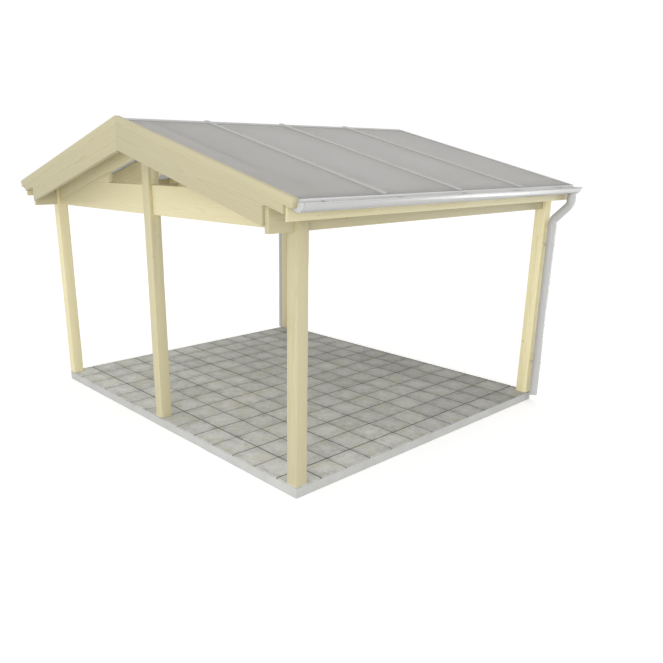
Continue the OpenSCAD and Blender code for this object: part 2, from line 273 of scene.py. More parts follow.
# Pressed concrete: pale grey and matt, mottled with a few yellowish stains, and a little
# paler in each tile's middle. Each tile has a random tone, and painted shade darkens
# the tiles towards the house, where the roof shades them.
pressed, tree = new_material("pressed concrete tile")
place = add(tree, "TexCoord").outputs["Object"]
tile_tone_and_shade = add(tree, "Attribute", {"attribute_name": "tone"}).outputs["Fac"]
local = add(tree, "UVMap", {"uv_map": paving.data.uv_layers.active.name}).outputs["UV"]
centred = add(tree, "Mapping", {}, {"Vector": local, "Location": (-0.5, -0.5, 0.0)})
reach = add(tree, "VectorMath", {"operation": "LENGTH"}, {0: centred.outputs[0]})
blotch = add(tree, "TexNoise", {}, {"Vector": place, "Scale": 14.0, "Detail": 6.0, "Roughness": 0.7})
sand = add(tree, "TexNoise", {}, {"Vector": place, "Scale": 120.0, "Detail": 3.0, "Roughness": 0.7})
crown = add(tree, "Math", {"operation": "MULTIPLY_ADD"}, {0: reach.outputs["Value"], 1: 0.45, 2: -0.12})
mottle = add(tree, "Math", {"operation": "MULTIPLY_ADD"},
             {0: blotch.outputs["Fac"], 1: 1.1, 2: crown.outputs[0]})
mottled = add(tree, "ValToRGB",
              {"stops": [(0.25, colour("#ebebe8")), (0.6, colour("#d7d7d2")), (0.9, colour("#b0b0aa"))]},
              {"Fac": mottle.outputs[0]}).outputs["Color"]
# Painted shade: the tone attribute darkens the tiles towards the house, besides their random tone.
tile_tone_and_shade_colour = add(tree, "ValToRGB", {"stops": [(0.0, grey(0.52)), (1.0, grey(1.0))]},
               {"Fac": tile_tone_and_shade}).outputs["Color"]
stain = add(tree, "TexNoise", {}, {"Vector": place, "Scale": 6.5, "Detail": 4.0, "Roughness": 0.6})
stain_mask = add(tree, "ValToRGB", {"stops": [(0.5, grey(0.0)), (0.68, grey(0.6))]},
                 {"Fac": stain.outputs["Fac"]}).outputs["Color"]
stained = add(tree, "Mix", {"data_type": "RGBA"},
              {FACTOR: stain_mask, BELOW: mottled, ABOVE: colour("#d0cfb6")})
toned = add(tree, "Mix", {"data_type": "RGBA", "blend_type": "MULTIPLY"},
            {FACTOR: 1.0, BELOW: stained.outputs[MIXED], ABOVE: tile_tone_and_shade_colour})
sanded = add(tree, "Mix", {"data_type": "RGBA", "blend_type": "MULTIPLY"},
             {FACTOR: 0.5, BELOW: toned.outputs[MIXED],
              ABOVE: add(tree, "ValToRGB", {"stops": [(0.3, grey(0.78)), (0.6, grey(1.0))]},
                         {"Fac": sand.outputs["Fac"]}).outputs["Color"]})
relief = add(tree, "Bump", {}, {"Strength": 0.4, "Distance": 0.0008, "Height": sand.outputs["Fac"]})
shader = add(tree, "BsdfPrincipled", {},
             {"Base Color": sanded.outputs[MIXED], "Roughness": 0.85, "IOR": 1.5, "Specular IOR Level": 0.2,
                "Normal": relief.outputs[0]})
add(tree, "OutputMaterial", {}, {"Surface": shader.outputs["BSDF"]})
paint(paving, pressed)
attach(paving, "root")
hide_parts("floor_tiles")

# Mortar: darker than the tiles, rough with sand.
mortar, tree = new_material("cement mortar")
place = add(tree, "TexCoord").outputs["Object"]
sand = add(tree, "TexNoise", {}, {"Vector": place, "Scale": 220.0, "Detail": 3.0})
mortar_colour = add(tree, "ValToRGB", {"stops": [(0.35, colour("#43453f")), (0.65, colour("#585a54"))]},
                    {"Fac": sand.outputs["Fac"]}).outputs["Color"]
relief = add(tree, "Bump", {}, {"Strength": 0.6, "Distance": 0.001, "Height": sand.outputs["Fac"]})
shader = add(tree, "BsdfPrincipled", {},
             {"Base Color": mortar_colour, "Roughness": 0.92, "IOR": 1.5, "Normal": relief.outputs[0]})
add(tree, "OutputMaterial", {}, {"Surface": shader.outputs["BSDF"]})
bed = block("mortar_bed", (bed_low.x + BED_INSET, bed_low.y + BED_INSET, bed_low.z - BED_SUNK),
            (bed_high.x - BED_INSET, bed_high.y - BED_INSET, bed_high.z - JOINT_DEPTH))
ease_edges(bed, BED_ARRIS, 1)
paint(bed, mortar)
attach(bed, "root")

# ---- Timber frame ------------------------------------------------------------
# Planed spruce: square posts forked at the top, plates, tie beams, rafters,
# packers, ridge board and boards, with every arris eased and screwed together.

PITCH = math.radians(14.5)
TIMBER_ARRIS, BOARD_ARRIS = 0.003, 0.001
MERGE_DISTANCE = 0.00002
ALONG_X, ALONG_Y, ALONG_Z = "x", "y", "z"
SLOPE_LEFT, SLOPE_RIGHT = "left slope", "right slope"
GRAIN = {
    ALONG_X: Matrix.Identity(3),
    ALONG_Y: Matrix.Rotation(math.radians(-90), 3, "Z"),
    ALONG_Z: Matrix.Rotation(math.radians(90), 3, "Y"),
    SLOPE_RIGHT: Matrix.Rotation(-PITCH, 3, "Y"),
    SLOPE_LEFT: Matrix.Rotation(PITCH, 3, "Y"),
}

# Planed spruce: pale cream early wood, slightly darker late wood and small knots.
# The real rings are 2 to 4 mm apart; they are drawn 8 mm apart so that they show.
spruce, tree = new_material("planed spruce")
grain = add(tree, "Attribute", {"attribute_name": "grain"}).outputs["Vector"]
tone = add(tree, "Attribute", {"attribute_name": "tone"}).outputs["Fac"]
slow = add(tree, "Mapping", {}, {"Vector": grain, "Scale": (1.1, 9.0, 9.0)})
wander = add(tree, "TexNoise", {}, {"Vector": slow.outputs[0], "Scale": 1.0, "Detail": 3.0, "Roughness": 0.5})
drift = add(tree, "VectorMath", {"operation": "MULTIPLY_ADD"},
            {0: wander.outputs["Color"], 1: (0.0, 0.035, 0.035), 2: grain})
rings = add(tree, "TexWave", {"wave_type": "RINGS", "rings_direction": "X", "wave_profile": "SAW"},
            {"Vector": drift.outputs[0], "Scale": 39.0, "Distortion": 0.6, "Detail": 2.0,
             "Detail Scale": 4.0})
stretched = add(tree, "Mapping", {}, {"Vector": grain, "Scale": (5.0, 260.0, 260.0)})
fibres = add(tree, "TexNoise", {},
             {"Vector": stretched.outputs[0], "Scale": 1.0, "Detail": 4.0, "Roughness": 0.6})
knot_cells = add(tree, "TexVoronoi", {}, {"Vector": grain, "Scale": 4.3, "Randomness": 1.0})
knot_edge = add(tree, "Math", {"operation": "MULTIPLY_ADD"},
                {0: wander.outputs["Fac"], 1: 0.05, 2: knot_cells.outputs["Distance"]})
ring_colour = add(tree, "ValToRGB",
                  {"stops": [(0.0, colour("#ddd4ae")), (0.7, colour("#dad1aa")), (0.93, colour("#d4caa0")),
                             (1.0, colour("#dbd2ab"))]}, {"Fac": rings.outputs["Fac"]}).outputs["Color"]
fibre_tone = add(tree, "ValToRGB", {"stops": [(0.3, grey(0.965)), (0.65, grey(1.0))]},
                 {"Fac": fibres.outputs["Fac"]}).outputs["Color"]
streaked = add(tree, "Mix", {"data_type": "RGBA", "blend_type": "MULTIPLY"},
               {FACTOR: 1.0, BELOW: ring_colour, ABOVE: fibre_tone})
knot_mask = add(tree, "ValToRGB", {"stops": [(0.04, grey(0.5)), (0.065, grey(0.25)), (0.1, grey(0.0))]},
                {"Fac": knot_edge.outputs[0]}).outputs["Color"]
knotted = add(tree, "Mix", {"data_type": "RGBA"},
              {FACTOR: knot_mask, BELOW: streaked.outputs[MIXED], ABOVE: colour("#b8a273")})
# Each member's tone scales the colour. It holds painted light besides the board's natural tone.
board_tone_and_painted_light = add(tree, "MapRange", {"clamp": False}, {"Value": tone, "To Min": 0.74, "To Max": 1.20})
boards = add(tree, "Mix", {"data_type": "RGBA", "blend_type": "MULTIPLY", "clamp_result": False},
             {FACTOR: 1.0, BELOW: knotted.outputs[MIXED], ABOVE: board_tone_and_painted_light.outputs["Result"]})
rough = add(tree, "MapRange", {}, {"Value": fibres.outputs["Fac"], "To Min": 0.5, "To Max": 0.66})
planed = add(tree, "Math", {"operation": "MULTIPLY_ADD"},
             {0: fibres.outputs["Fac"], 1: 0.5, 2: rings.outputs["Fac"]})
relief = add(tree, "Bump", {}, {"Strength": 0.35, "Distance": 0.0004, "Height": planed.outputs[0]})
shader = add(tree, "BsdfPrincipled", {},
             {"Base Color": boards.outputs[MIXED], "Roughness": rough.outputs["Result"], "IOR": 1.5,
              "Normal": relief.outputs[0]})
add(tree, "OutputMaterial", {}, {"Surface": shader.outputs["BSDF"]})


def timber(node, run, tone, arris=TIMBER_ARRIS):
    """A CAD timber with eased edges, its grain along its length and a tone that is partly the board's and
    partly painted light.
    """
    piece = copied(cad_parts[node], node + "_timber")
    piece.parent = None
    piece.matrix_world = Matrix.Identity(4)
    only(piece)
    bpy.ops.object.mode_set(mode="EDIT")
    bpy.ops.mesh.select_all(action="SELECT")
    bpy.ops.mesh.remove_doubles(threshold=MERGE_DISTANCE)
    bpy.ops.mesh.dissolve_limited(angle_limit=math.radians(1))
    bpy.ops.object.mode_set(mode="OBJECT")
    ease_edges(piece, arris)
    turn = GRAIN[run]
    turned = [turn @ vertex.co for vertex in piece.data.vertices]
    middle = [sum(c) / 2 for c in zip([min(p[i] for p in turned) for i in range(3)],
                                      [max(p[i] for p in turned) for i in range(3)])]
    chance = random.Random(node)
    heart = Vector((chance.uniform(3, 40) - middle[0],
                    chance.choice((-1, 1)) * chance.uniform(0.05, 0.12) - middle[1],
                    chance.uniform(-0.04, 0.04) - middle[2]))
    store = piece.data.attributes.new("grain", "FLOAT_VECTOR", "POINT")
    store.data.foreach_set("vector", [c for p in turned for c in p + heart])
    store = piece.data.attributes.new("tone", "FLOAT", "POINT")
    store.data.foreach_set("value", [tone] * len(turned))
    paint(piece, spruce)
    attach(piece, "root")
    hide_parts(node)
    return piece


# Each member's tone is partly the board's natural tone and partly painted light. The inner rafters, the back
# right post and the front left post stand in shade and are painted paler to offset it. The fascias are
# painted paler against the gutters' shadow.
timber("post_front_left", ALONG_Z, 1.05)
timber("post_front_middle", ALONG_Z, 0.40)
timber("post_front_right", ALONG_Z, 0.21)
timber("post_back_left", ALONG_Z, 0.50)
timber("post_back_right", ALONG_Z, 1.4)
timber("wall_plate_left", ALONG_Y, 0.20)
timber("wall_plate_right", ALONG_Y, 0.10)
timber("tie_beam_front", ALONG_X, 0.80)
timber("tie_beam_back", ALONG_X, 0.54)
timber("king_post_front", ALONG_Z, 0.56)
timber("king_post_back", ALONG_Z, 0.50)
timber("ridge_board", ALONG_Y, 0.85)
timber("gable_packers", ALONG_X, 0.53)
for side, run in (("left", SLOPE_LEFT), ("right", SLOPE_RIGHT)):
    timber("front_rafter_" + side, run, 0.05 if side == "left" else 0.0, BOARD_ARRIS)
    timber("gable_rafter_" + side, run, 0.66)
    timber("inner_rafters_" + side, run, 1.25)
    timber("back_rafter_" + side, run, 0.46)
    timber("gable_trim_" + side, run, 0.11 if side == "left" else 0.07, BOARD_ARRIS)
    timber("fascia_" + side, ALONG_Y, 0.58)

# Countersunk wood screws, sunk nearly flush: through the post cheeks into plates and tie
# beam, through the front rafters into plates and ridge, and through the fascias.
SCREW_HEAD, SCREW_SUNK, SCREW_PROUD = 0.0048, 0.003, 0.0002
RECESS, RECESS_DEPTH = 0.0026, 0.0015
RAFTER_LINES = (-1.6165, -0.957, 0.0, 0.957, 1.8785)
PLATE_HEIGHTS, KING_HEIGHTS, RIDGE_HEIGHTS = (2.175, 2.27), (2.53, 2.64), (2.775, 2.86)
KING_X, RIDGE_X, RAFTER_RAISE = 0.025, 0.012, 0.03
FASCIA_FOOT, FASCIA_HEAD = 0.03, 0.04


def pick_faces(piece, chosen):
    """Selects the faces of a piece that a test picks, in edit mode."""
    bpy.ops.object.mode_set(mode="EDIT")
    bpy.ops.mesh.select_mode(type="FACE")
    bpy.ops.object.mode_set(mode="OBJECT")
    for part in (piece.data.vertices, piece.data.edges, piece.data.polygons):
        part.foreach_set("select", [False] * len(part))
    for face in piece.data.polygons:
        face.select = chosen(face)
    bpy.ops.object.mode_set(mode="EDIT")


bpy.ops.object.select_all(action="DESELECT")
bpy.ops.mesh.primitive_cylinder_add(vertices=12, radius=SCREW_HEAD, depth=SCREW_SUNK,
                                    location=(0, 0, SCREW_PROUD - SCREW_SUNK / 2))
countersunk = bpy.context.object
settle(countersunk)
pick_faces(countersunk, lambda face: face.normal.z > 0.5)
bpy.ops.mesh.inset(thickness=SCREW_HEAD - RECESS, depth=0)
bpy.ops.mesh.extrude_region_move(TRANSFORM_OT_translate={"value": (0, 0, -RECESS_DEPTH)})
bpy.ops.object.mode_set(mode="OBJECT")
post_low, post_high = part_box("post_front_right")
post_y, back_post_y = [sum(c.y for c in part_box("post_%s_right" % end)) / 2 for end in ("front", "back")]
plate_x = sum(c.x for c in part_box("wall_plate_right")) / 2
fascia_low, fascia_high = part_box("fascia_right")
spots = []
for side in (-1, 1):
    for z in PLATE_HEIGHTS:
        spots += [((side * post_high.x, post_y, z), (side, 0, 0)),
                  ((side * post_high.x, back_post_y, z), (side, 0, 0)),
                  ((side * plate_x, post_low.y, z), (0, -1, 0)),
                  ((side * KING_X, post_low.y, z), (0, -1, 0)),
                  ((side * plate_x, cad_low.y, z + RAFTER_RAISE), (0, -1, 0))]
    for z in KING_HEIGHTS:
        spots.append(((side * KING_X, post_low.y, z), (0, -1, 0)))
    for z in RIDGE_HEIGHTS:
        spots.append(((side * RIDGE_X, cad_low.y, z), (0, -1, 0)))
    for y in RAFTER_LINES:
        for z in (fascia_low.z + FASCIA_FOOT, fascia_high.z - FASCIA_HEAD):
            spots.append(((side * fascia_high.x, y, z), (side, 0, 0)))
wood_screws = []
for spot, outward in spots:
    screw = copied(countersunk, "wood_screw")
    screw.rotation_euler = Vector(outward).to_track_quat("Z", "Y").to_euler()
    screw.location = spot
    settle(screw)
    wood_screws.append(screw)
bpy.data.objects.remove(countersunk)
wood_screws = joined("wood_screws", wood_screws)

# Zinc-plated steel, yellow passivated: dull, slightly straw-coloured and evenly satin.
plated, tree = new_material("zinc-plated steel")
shader = add(tree, "BsdfPrincipled", {}, {"Base Color": colour("#b4ae98"), "Metallic": 1.0, "Roughness": 0.5})
add(tree, "OutputMaterial", {}, {"Surface": shader.outputs["BSDF"]})
paint(wood_screws, plated)
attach(wood_screws, "root")

# ---- Roof sheets -------------------------------------------------------------
# Grey-tinted multiwall polycarbonate, 16 mm thick, with its hollow flutes
# running down the slope. The sheets lie on the rafters between the profiles.

# Multiwall polycarbonate: smooth and half glossy, faintly ribbed every 20 mm by its walls.
multiwall, tree = new_material("multiwall polycarbonate")
place = add(tree, "TexCoord").outputs["Object"]
walls = add(tree, "TexWave", {"bands_direction": "Y", "wave_profile": "SIN"},
            {"Vector": place, "Scale": 15.7})
haze = add(tree, "TexNoise", {}, {"Vector": place, "Scale": 1.4, "Detail": 3.0})
wall_lines = add(tree, "ValToRGB", {"stops": [(0.0, grey(0.955)), (0.12, grey(1.0)), (1.0, grey(1.0))]},
                 {"Fac": walls.outputs["Fac"]}).outputs["Color"]
haze_colour = add(tree, "ValToRGB", {"stops": [(0.3, colour("#c5c3c2")), (0.7, colour("#cbc9c8"))]},
                  {"Fac": haze.outputs["Fac"]}).outputs["Color"]
sheet_colour = add(tree, "Mix", {"data_type": "RGBA", "blend_type": "MULTIPLY"},
                   {FACTOR: 1.0, BELOW: haze_colour, ABOVE: wall_lines})
relief = add(tree, "Bump", {}, {"Strength": 0.15, "Distance": 0.0004, "Height": walls.outputs["Fac"]})
skin = add(tree, "BsdfPrincipled", {},
           {"Base Color": sheet_colour.outputs[MIXED], "Roughness": 0.34, "IOR": 1.58,
            "Normal": relief.outputs[0]})
through = add(tree, "BsdfTranslucent", {}, {"Color": colour("#e2e2e2")})
shader = add(tree, "MixShader", {}, {0: 0.55, 1: skin.outputs[0], 2: through.outputs[0]})
add(tree, "OutputMaterial", {}, {"Surface": shader.outputs[0]})
for side in ("left", "right"):
    paint(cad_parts["roof_sheets_" + side], multiwall)

# ---- Cover profiles ----------------------------------------------------------
# Extruded aluminium covers over the sheet joints and the back edge, screwed
# down to the rafters, with folded strips over the ridge.

# Mill-finished aluminium: light grey with fine lines drawn along the extrusion.
extruded, tree = new_material("mill finished aluminium")
place = add(tree, "TexCoord").outputs["Object"]
drawn = add(tree, "Mapping", {}, {"Vector": place, "Scale": (2.0, 600.0, 40.0)})
lines = add(tree, "TexNoise", {}, {"Vector": drawn.outputs[0], "Scale": 1.0, "Detail": 2.0})
rough = add(tree, "MapRange", {}, {"Value": lines.outputs["Fac"], "To Min": 0.42, "To Max": 0.54})
shader = add(tree, "BsdfPrincipled", {},
             {"Base Color": colour("#b6b6b5"), "Metallic": 0.4, "Roughness": rough.outputs["Result"]})
add(tree, "OutputMaterial", {}, {"Surface": shader.outputs["BSDF"]})
for node in ("cover_profiles_left", "cover_profiles_right", "ridge_strips"):
    paint(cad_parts[node], extruded)

# Each sheet's lower end is closed by a clear U-shaped profile pressed over it.
# One thin plate along all the ends hangs into the gutter as a drip edge, slotted for the hangers.
CAP_LEG, CAP_SHEET, SHEET_THICKNESS, JOINT_GAP = 0.022, 0.0011, 0.016, 0.005
DRIP, DRIP_GAP = 0.022, 0.0012
SLOT_WIDTH, SLOT_HEIGHT, SLOT_REACH = 0.026, 0.0038, 0.01
HANGER_COUNT, HANGER_INSET = 5, 0.26
SHEETS, RAFTER_THICKNESS, DRIP_OVERLAP = 4, 0.045, 0.001
CAP_ARRIS, DRIP_ARRIS, SHARP = 0.0003, 0.0002, 50
hanger_run = cad_high.y - cad_low.y - RAFTER_THICKNESS - 2 * HANGER_INSET
hangers = [cad_low.y + RAFTER_THICKNESS + HANGER_INSET + i * hanger_run / (HANGER_COUNT - 1)
           for i in range(HANGER_COUNT)]
sheet_low, sheet_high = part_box("roof_sheets_right")
bay = (cad_high.y - cad_low.y - RAFTER_THICKNESS) / SHEETS
first_joint = cad_low.y + RAFTER_THICKNESS / 2
end_x = sheet_high.x - SHEET_THICKNESS * math.sin(PITCH)
end_z = sheet_low.z
drip_x = sheet_high.x + CAP_SHEET + DRIP_GAP
drip_top = end_z + SHEET_THICKNESS * math.cos(PITCH) + DRIP_OVERLAP


def cut_out(piece, cutter):
    """Cuts the cutter's shape out of a piece, and removes the cutter."""
    only(piece)
    cut = piece.modifiers.new("cut", "BOOLEAN")
    cut.object = cutter
    cut.solver = "EXACT"
    bpy.ops.object.modifier_apply(modifier=cut.name)
    bpy.data.objects.remove(cutter)


end_profiles = []
for i in range(SHEETS):
    start = sheet_low.y if i == 0 else first_joint + i * bay + JOINT_GAP
    end = sheet_high.y if i == SHEETS - 1 else first_joint + (i + 1) * bay - JOINT_GAP
    shell = block("shell", (-CAP_LEG, start, 0), (0, end, SHEET_THICKNESS))
    pick_faces(shell, lambda face: face.normal.x < -0.5 or abs(face.normal.y) > 0.5)
    bpy.ops.mesh.delete(type="FACE")
    bpy.ops.object.mode_set(mode="OBJECT")
    only(shell)
    solid = shell.modifiers.new("wall", "SOLIDIFY")
    solid.thickness = CAP_SHEET
    solid.offset = 1
    bpy.ops.object.modifier_apply(modifier=solid.name)
    shell.rotation_euler = (0, PITCH, 0)
    shell.location = (end_x, 0, end_z)
    settle(shell)
    ease_edges(shell, CAP_ARRIS, 1, SHARP)
    end_profiles.append(shell)
drip = block("drip_edges_right", (drip_x - CAP_SHEET, sheet_low.y, end_z - DRIP),
             (drip_x, sheet_high.y, drip_top))
for h in hangers:
    cutter = block("cutter", (drip_x - SLOT_REACH, h - SLOT_WIDTH / 2, end_z - SLOT_HEIGHT),
                   (drip_x + SLOT_REACH, h + SLOT_WIDTH / 2, end_z))
    cut_out(drip, cutter)
ease_edges(drip, DRIP_ARRIS, 1, SHARP)


def twin(piece, name):
    """The left-hand twin of a right-hand piece."""
    other = copied(piece, name)
    for vertex in other.data.vertices:
        vertex.co.x = -vertex.co.x
    only(other)
    bpy.ops.object.mode_set(mode="EDIT")
    bpy.ops.mesh.select_all(action="SELECT")
    bpy.ops.mesh.flip_normals()
    bpy.ops.object.mode_set(mode="OBJECT")
    return other


# Powder-coated aluminium: light grey and half matt, with a fine orange-peel skin.
powder, tree = new_material("powder-coated aluminium")
place = add(tree, "TexCoord").outputs["Object"]
peel = add(tree, "TexNoise", {}, {"Vector": place, "Scale": 400.0, "Detail": 2.0})
relief = add(tree, "Bump", {}, {"Strength": 0.1, "Distance": 0.0003, "Height": peel.outputs["Fac"]})
shader = add(tree, "BsdfPrincipled", {},
             {"Base Color": colour("#e0e0df"), "Roughness": 0.4, "IOR": 1.5, "Normal": relief.outputs[0]})
add(tree, "OutputMaterial", {}, {"Surface": shader.outputs["BSDF"]})
ends_right = joined("sheet_end_profiles_right", end_profiles)
ends_left = twin(ends_right, "sheet_end_profiles_left")
for piece in (ends_right, ends_left):
    paint(piece, multiwall)
    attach(piece, "root")
for piece in (drip, twin(drip, "drip_edges_left")):
    paint(piece, powder)
    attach(piece, "root")

# Hexagon screws with sealing washers hold the covers down every 350 mm.
SCREW_PITCH, FIRST_RUN, SCREWS_PER_COVER = 0.35, 0.2, 6
WASHER, WASHER_THICKNESS, HEAD, HEAD_THICKNESS = 0.009, 0.0016, 0.005, 0.004
WASHER_EASE, HEAD_EASE, COVER_HEIGHT = 0.0004, 0.0006, 0.012
cover_top = SHEET_THICKNESS + COVER_HEIGHT
apex = sheet_high.z - SHEET_THICKNESS / math.cos(PITCH)
bpy.ops.object.select_all(action="DESELECT")
bpy.ops.mesh.primitive_cylinder_add(vertices=12, radius=WASHER, depth=WASHER_THICKNESS,
                                    location=(0, 0, WASHER_THICKNESS / 2))
washer = bpy.context.object
ease_edges(washer, WASHER_EASE, 1, SHARP)
bpy.ops.object.select_all(action="DESELECT")
bpy.ops.mesh.primitive_cylinder_add(vertices=6, radius=HEAD, depth=HEAD_THICKNESS,
                                    location=(0, 0, WASHER_THICKNESS + HEAD_THICKNESS / 2))
head = bpy.context.object
ease_edges(head, HEAD_EASE, 1, SHARP)
settle(washer)
settle(head)
screw_model = joined("screw", [washer, head])
screws = []
for i in range(1, SHEETS):
    for k in range(SCREWS_PER_COVER):
        run = FIRST_RUN + k * SCREW_PITCH
        screw = copied(screw_model, "cover_screw")
        screw.rotation_euler = (0, PITCH, 0)
        screw.location = (run * math.cos(PITCH) + cover_top * math.sin(PITCH),
                          first_joint + i * bay,
                          apex - run * math.sin(PITCH) + cover_top * math.cos(PITCH))
        settle(screw)
        screws.append(screw)
bpy.data.objects.remove(screw_model)
screws_right = joined("cover_screws_right", screws)
screws_left = twin(screws_right, "cover_screws_left")
for piece in (screws_right, screws_left):
    paint(piece, plated)
    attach(piece, "root")

# ---- Gutters -----------------------------------------------------------------
# Half-round gutters of light-grey coated steel, folded up at the back and rolled
# to a bead in front, hung on flat bars from the fascia and soldered end to end.

GUTTER_SHEET, BEAD_RADIUS, BACK_RISE = 0.0012, 0.005, 0.008
SLEEVE_WIDTH, SLEEVE_STEP, SLEEVE_RISE = 0.034, 0.0009, 0.004
CAP_THICKNESS, CAP_RIM, CAP_EASE = 0.0016, 0.0008, 0.0005
GUTTER_CORNERS, PIPE_CORNERS, NEAR = 96, 48, 0.0001
OUTLET_RISE, OUTLET_GAP, OUTLET_FIT = 0.012, 0.004, 0.0008
DRILL_FIT, DRILL_BELOW, DRILL_TOP = 0.002, 0.03, 0.02
GUTTER_LENGTHS, ROD_EASE = 4, 0.12
FACING_Y = (math.radians(90), 0, 0)
first_low, first_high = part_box("gutter_right_1")
last_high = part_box("gutter_right_4")[1]
gutter_radius = (first_high.x - BEAD_RADIUS - first_low.x) / 2
gutter_x = first_low.x + gutter_radius
gutter_z = first_high.z - BACK_RISE
length_of_gutter = first_high.y - first_low.y

# Coated sheet steel: smooth and half glossy, light grey, very slightly wavy.
coated, tree = new_material("coated sheet steel")
place = add(tree, "TexCoord").outputs["Object"]
waves = add(tree, "TexNoise", {}, {"Vector": place, "Scale": 7.0, "Detail": 2.0})
relief = add(tree, "Bump", {}, {"Strength": 0.05, "Distance": 0.002, "Height": waves.outputs["Fac"]})
shader = add(tree, "BsdfPrincipled", {},
             {"Base Color": colour("#c3c3c2"), "Roughness": 0.28, "IOR": 1.5, "Normal": relief.outputs[0]})
add(tree, "OutputMaterial", {}, {"Surface": shader.outputs["BSDF"]})


def pick(piece, chosen):
    """Selects the corners of a piece that a test picks, in edit mode."""
    bpy.ops.object.mode_set(mode="OBJECT")
    for part in (piece.data.vertices, piece.data.edges, piece.data.polygons):
        part.foreach_set("select", [False] * len(part))
    for vertex in piece.data.vertices:
        vertex.select = chosen(vertex.co)
    bpy.ops.object.mode_set(mode="EDIT")
    bpy.ops.mesh.select_mode(type="VERT")


def push(x, y, z):
    """Extrudes what is selected by this much."""
    bpy.ops.mesh.extrude_region_move(TRANSFORM_OT_translate={"value": (x, y, z)})


def ring(name, centre, radius, corners, turn=(0, 0, 0)):
    """An open circle, left in edit mode with all its corners selected."""
    bpy.ops.object.select_all(action="DESELECT")
    bpy.ops.mesh.primitive_circle_add(vertices=corners, radius=radius, location=centre, rotation=turn)
    piece = bpy.context.object
    piece.name = name
    settle(piece)
    bpy.ops.object.mode_set(mode="EDIT")
    bpy.ops.mesh.select_all(action="SELECT")
    return piece


def wall(piece, thickness, outward):
    """Turns a skin the right way out by one test face and gives it a wall inwards."""
    bpy.ops.object.mode_set(mode="EDIT")
    bpy.ops.mesh.select_all(action="SELECT")
    bpy.ops.mesh.normals_make_consistent(inside=False)
    bpy.ops.object.mode_set(mode="OBJECT")
    if outward(piece.data.polygons[0]) < 0:
        bpy.ops.object.mode_set(mode="EDIT")
        bpy.ops.mesh.flip_normals()
        bpy.ops.object.mode_set(mode="OBJECT")
    only(piece)
    solid = piece.modifiers.new("wall", "SOLIDIFY")
    solid.thickness = thickness
    solid.offset = -1
    bpy.ops.object.modifier_apply(modifier=solid.name)
    bpy.ops.object.shade_smooth_by_angle(angle=math.radians(40))


def trough(name, radius, start, end, rise):
    """A half-round sheet-metal channel between two stations."""
    piece = ring(name, (gutter_x, start, gutter_z), radius, GUTTER_CORNERS, FACING_Y)
    pick(piece, lambda co: co.z > gutter_z + NEAR)
    bpy.ops.mesh.delete(type="VERT")
    pick(piece, lambda co: co.z > gutter_z - NEAR and co.x < gutter_x)
    push(0, 0, rise)
    bpy.ops.mesh.select_all(action="SELECT")
    push(0, end - start, 0)
    middle = Vector((gutter_x, 0, gutter_z))
    wall(piece, GUTTER_SHEET, lambda face: (face.center - middle).dot(face.normal * Vector((1, 0, 1))))
    return piece


def end_cap(start):
    """A half-round end plate with a narrow rim over the channel's end."""
    piece = ring("cap", (gutter_x, start, gutter_z), gutter_radius + CAP_RIM, GUTTER_CORNERS, FACING_Y)
    pick(piece, lambda co: co.z > gutter_z + NEAR)
    bpy.ops.mesh.delete(type="VERT")
    bpy.ops.mesh.select_all(action="SELECT")
    bpy.ops.mesh.edge_face_add()
    push(0, CAP_THICKNESS, 0)
    bpy.ops.mesh.select_all(action="SELECT")
    bpy.ops.mesh.normals_make_consistent(inside=False)
    bpy.ops.object.mode_set(mode="OBJECT")
    ease_edges(piece, CAP_EASE, 1, SHARP)
    return piece


def rod(name, start, end, radius, corners=20):
    """A round rod between two points with slightly rounded ends."""
    run = Vector(end) - Vector(start)
    bpy.ops.object.select_all(action="DESELECT")
    bpy.ops.mesh.primitive_cylinder_add(vertices=corners, radius=radius, depth=run.length,
                                        location=(Vector(start) + Vector(end)) / 2,
                                        rotation=run.to_track_quat("Z", "Y").to_euler())
    piece = bpy.context.object
    piece.name = name
    settle(piece)
    ease_edges(piece, radius * ROD_EASE, 1, SHARP)
    return piece


pipe_low, pipe_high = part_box("downpipe_right")
PIPE_RADIUS, PIPE_SHEET, BEND_RADIUS, BEND = 0.0435, 0.0012, 0.075, math.radians(45)
PIPE_END = pipe_low.z
pipe_y = (pipe_low.y + pipe_high.y) / 2
neck_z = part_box("swan_necks")[1].z

channel = trough("channel", gutter_radius, first_low.y, last_high.y, BACK_RISE)
gutter_foot = gutter_z - gutter_radius
cut_out(channel, rod("drill", (gutter_x, pipe_y, gutter_foot - DRILL_BELOW),
                     (gutter_x, pipe_y, gutter_z - DRILL_TOP), PIPE_RADIUS - DRILL_FIT, PIPE_CORNERS))
outlet = ring("outlet", (gutter_x, pipe_y, gutter_foot + OUTLET_RISE), PIPE_RADIUS - OUTLET_FIT, PIPE_CORNERS)
push(0, 0, neck_z - OUTLET_GAP - (gutter_foot + OUTLET_RISE))
wall(outlet, PIPE_SHEET,
     lambda face: (face.center - Vector((gutter_x, pipe_y, face.center.z))).dot(face.normal))
bead = rod("bead", (gutter_x + gutter_radius, first_low.y, gutter_z - BEAD_RADIUS),
           (gutter_x + gutter_radius, last_high.y, gutter_z - BEAD_RADIUS), BEAD_RADIUS)
seams = [first_high.y + i * length_of_gutter for i in range(GUTTER_LENGTHS - 1)]
sleeves = [trough("sleeve", gutter_radius + SLEEVE_STEP, seam - SLEEVE_WIDTH / 2, seam + SLEEVE_WIDTH / 2,
                  SLEEVE_RISE) for seam in seams]
caps = [end_cap(first_low.y), end_cap(last_high.y - CAP_THICKNESS)]
gutter_right = joined("steel_gutter_right", [channel, outlet, bead] + sleeves + caps)
gutter_left = twin(gutter_right, "steel_gutter_left")
for piece, side in ((gutter_left, "left"), (gutter_right, "right")):
    paint(piece, coated)
    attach(piece, "root")
    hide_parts(*["gutter_%s_%d" % (side, i) for i in (1, 2, 3, 4)])
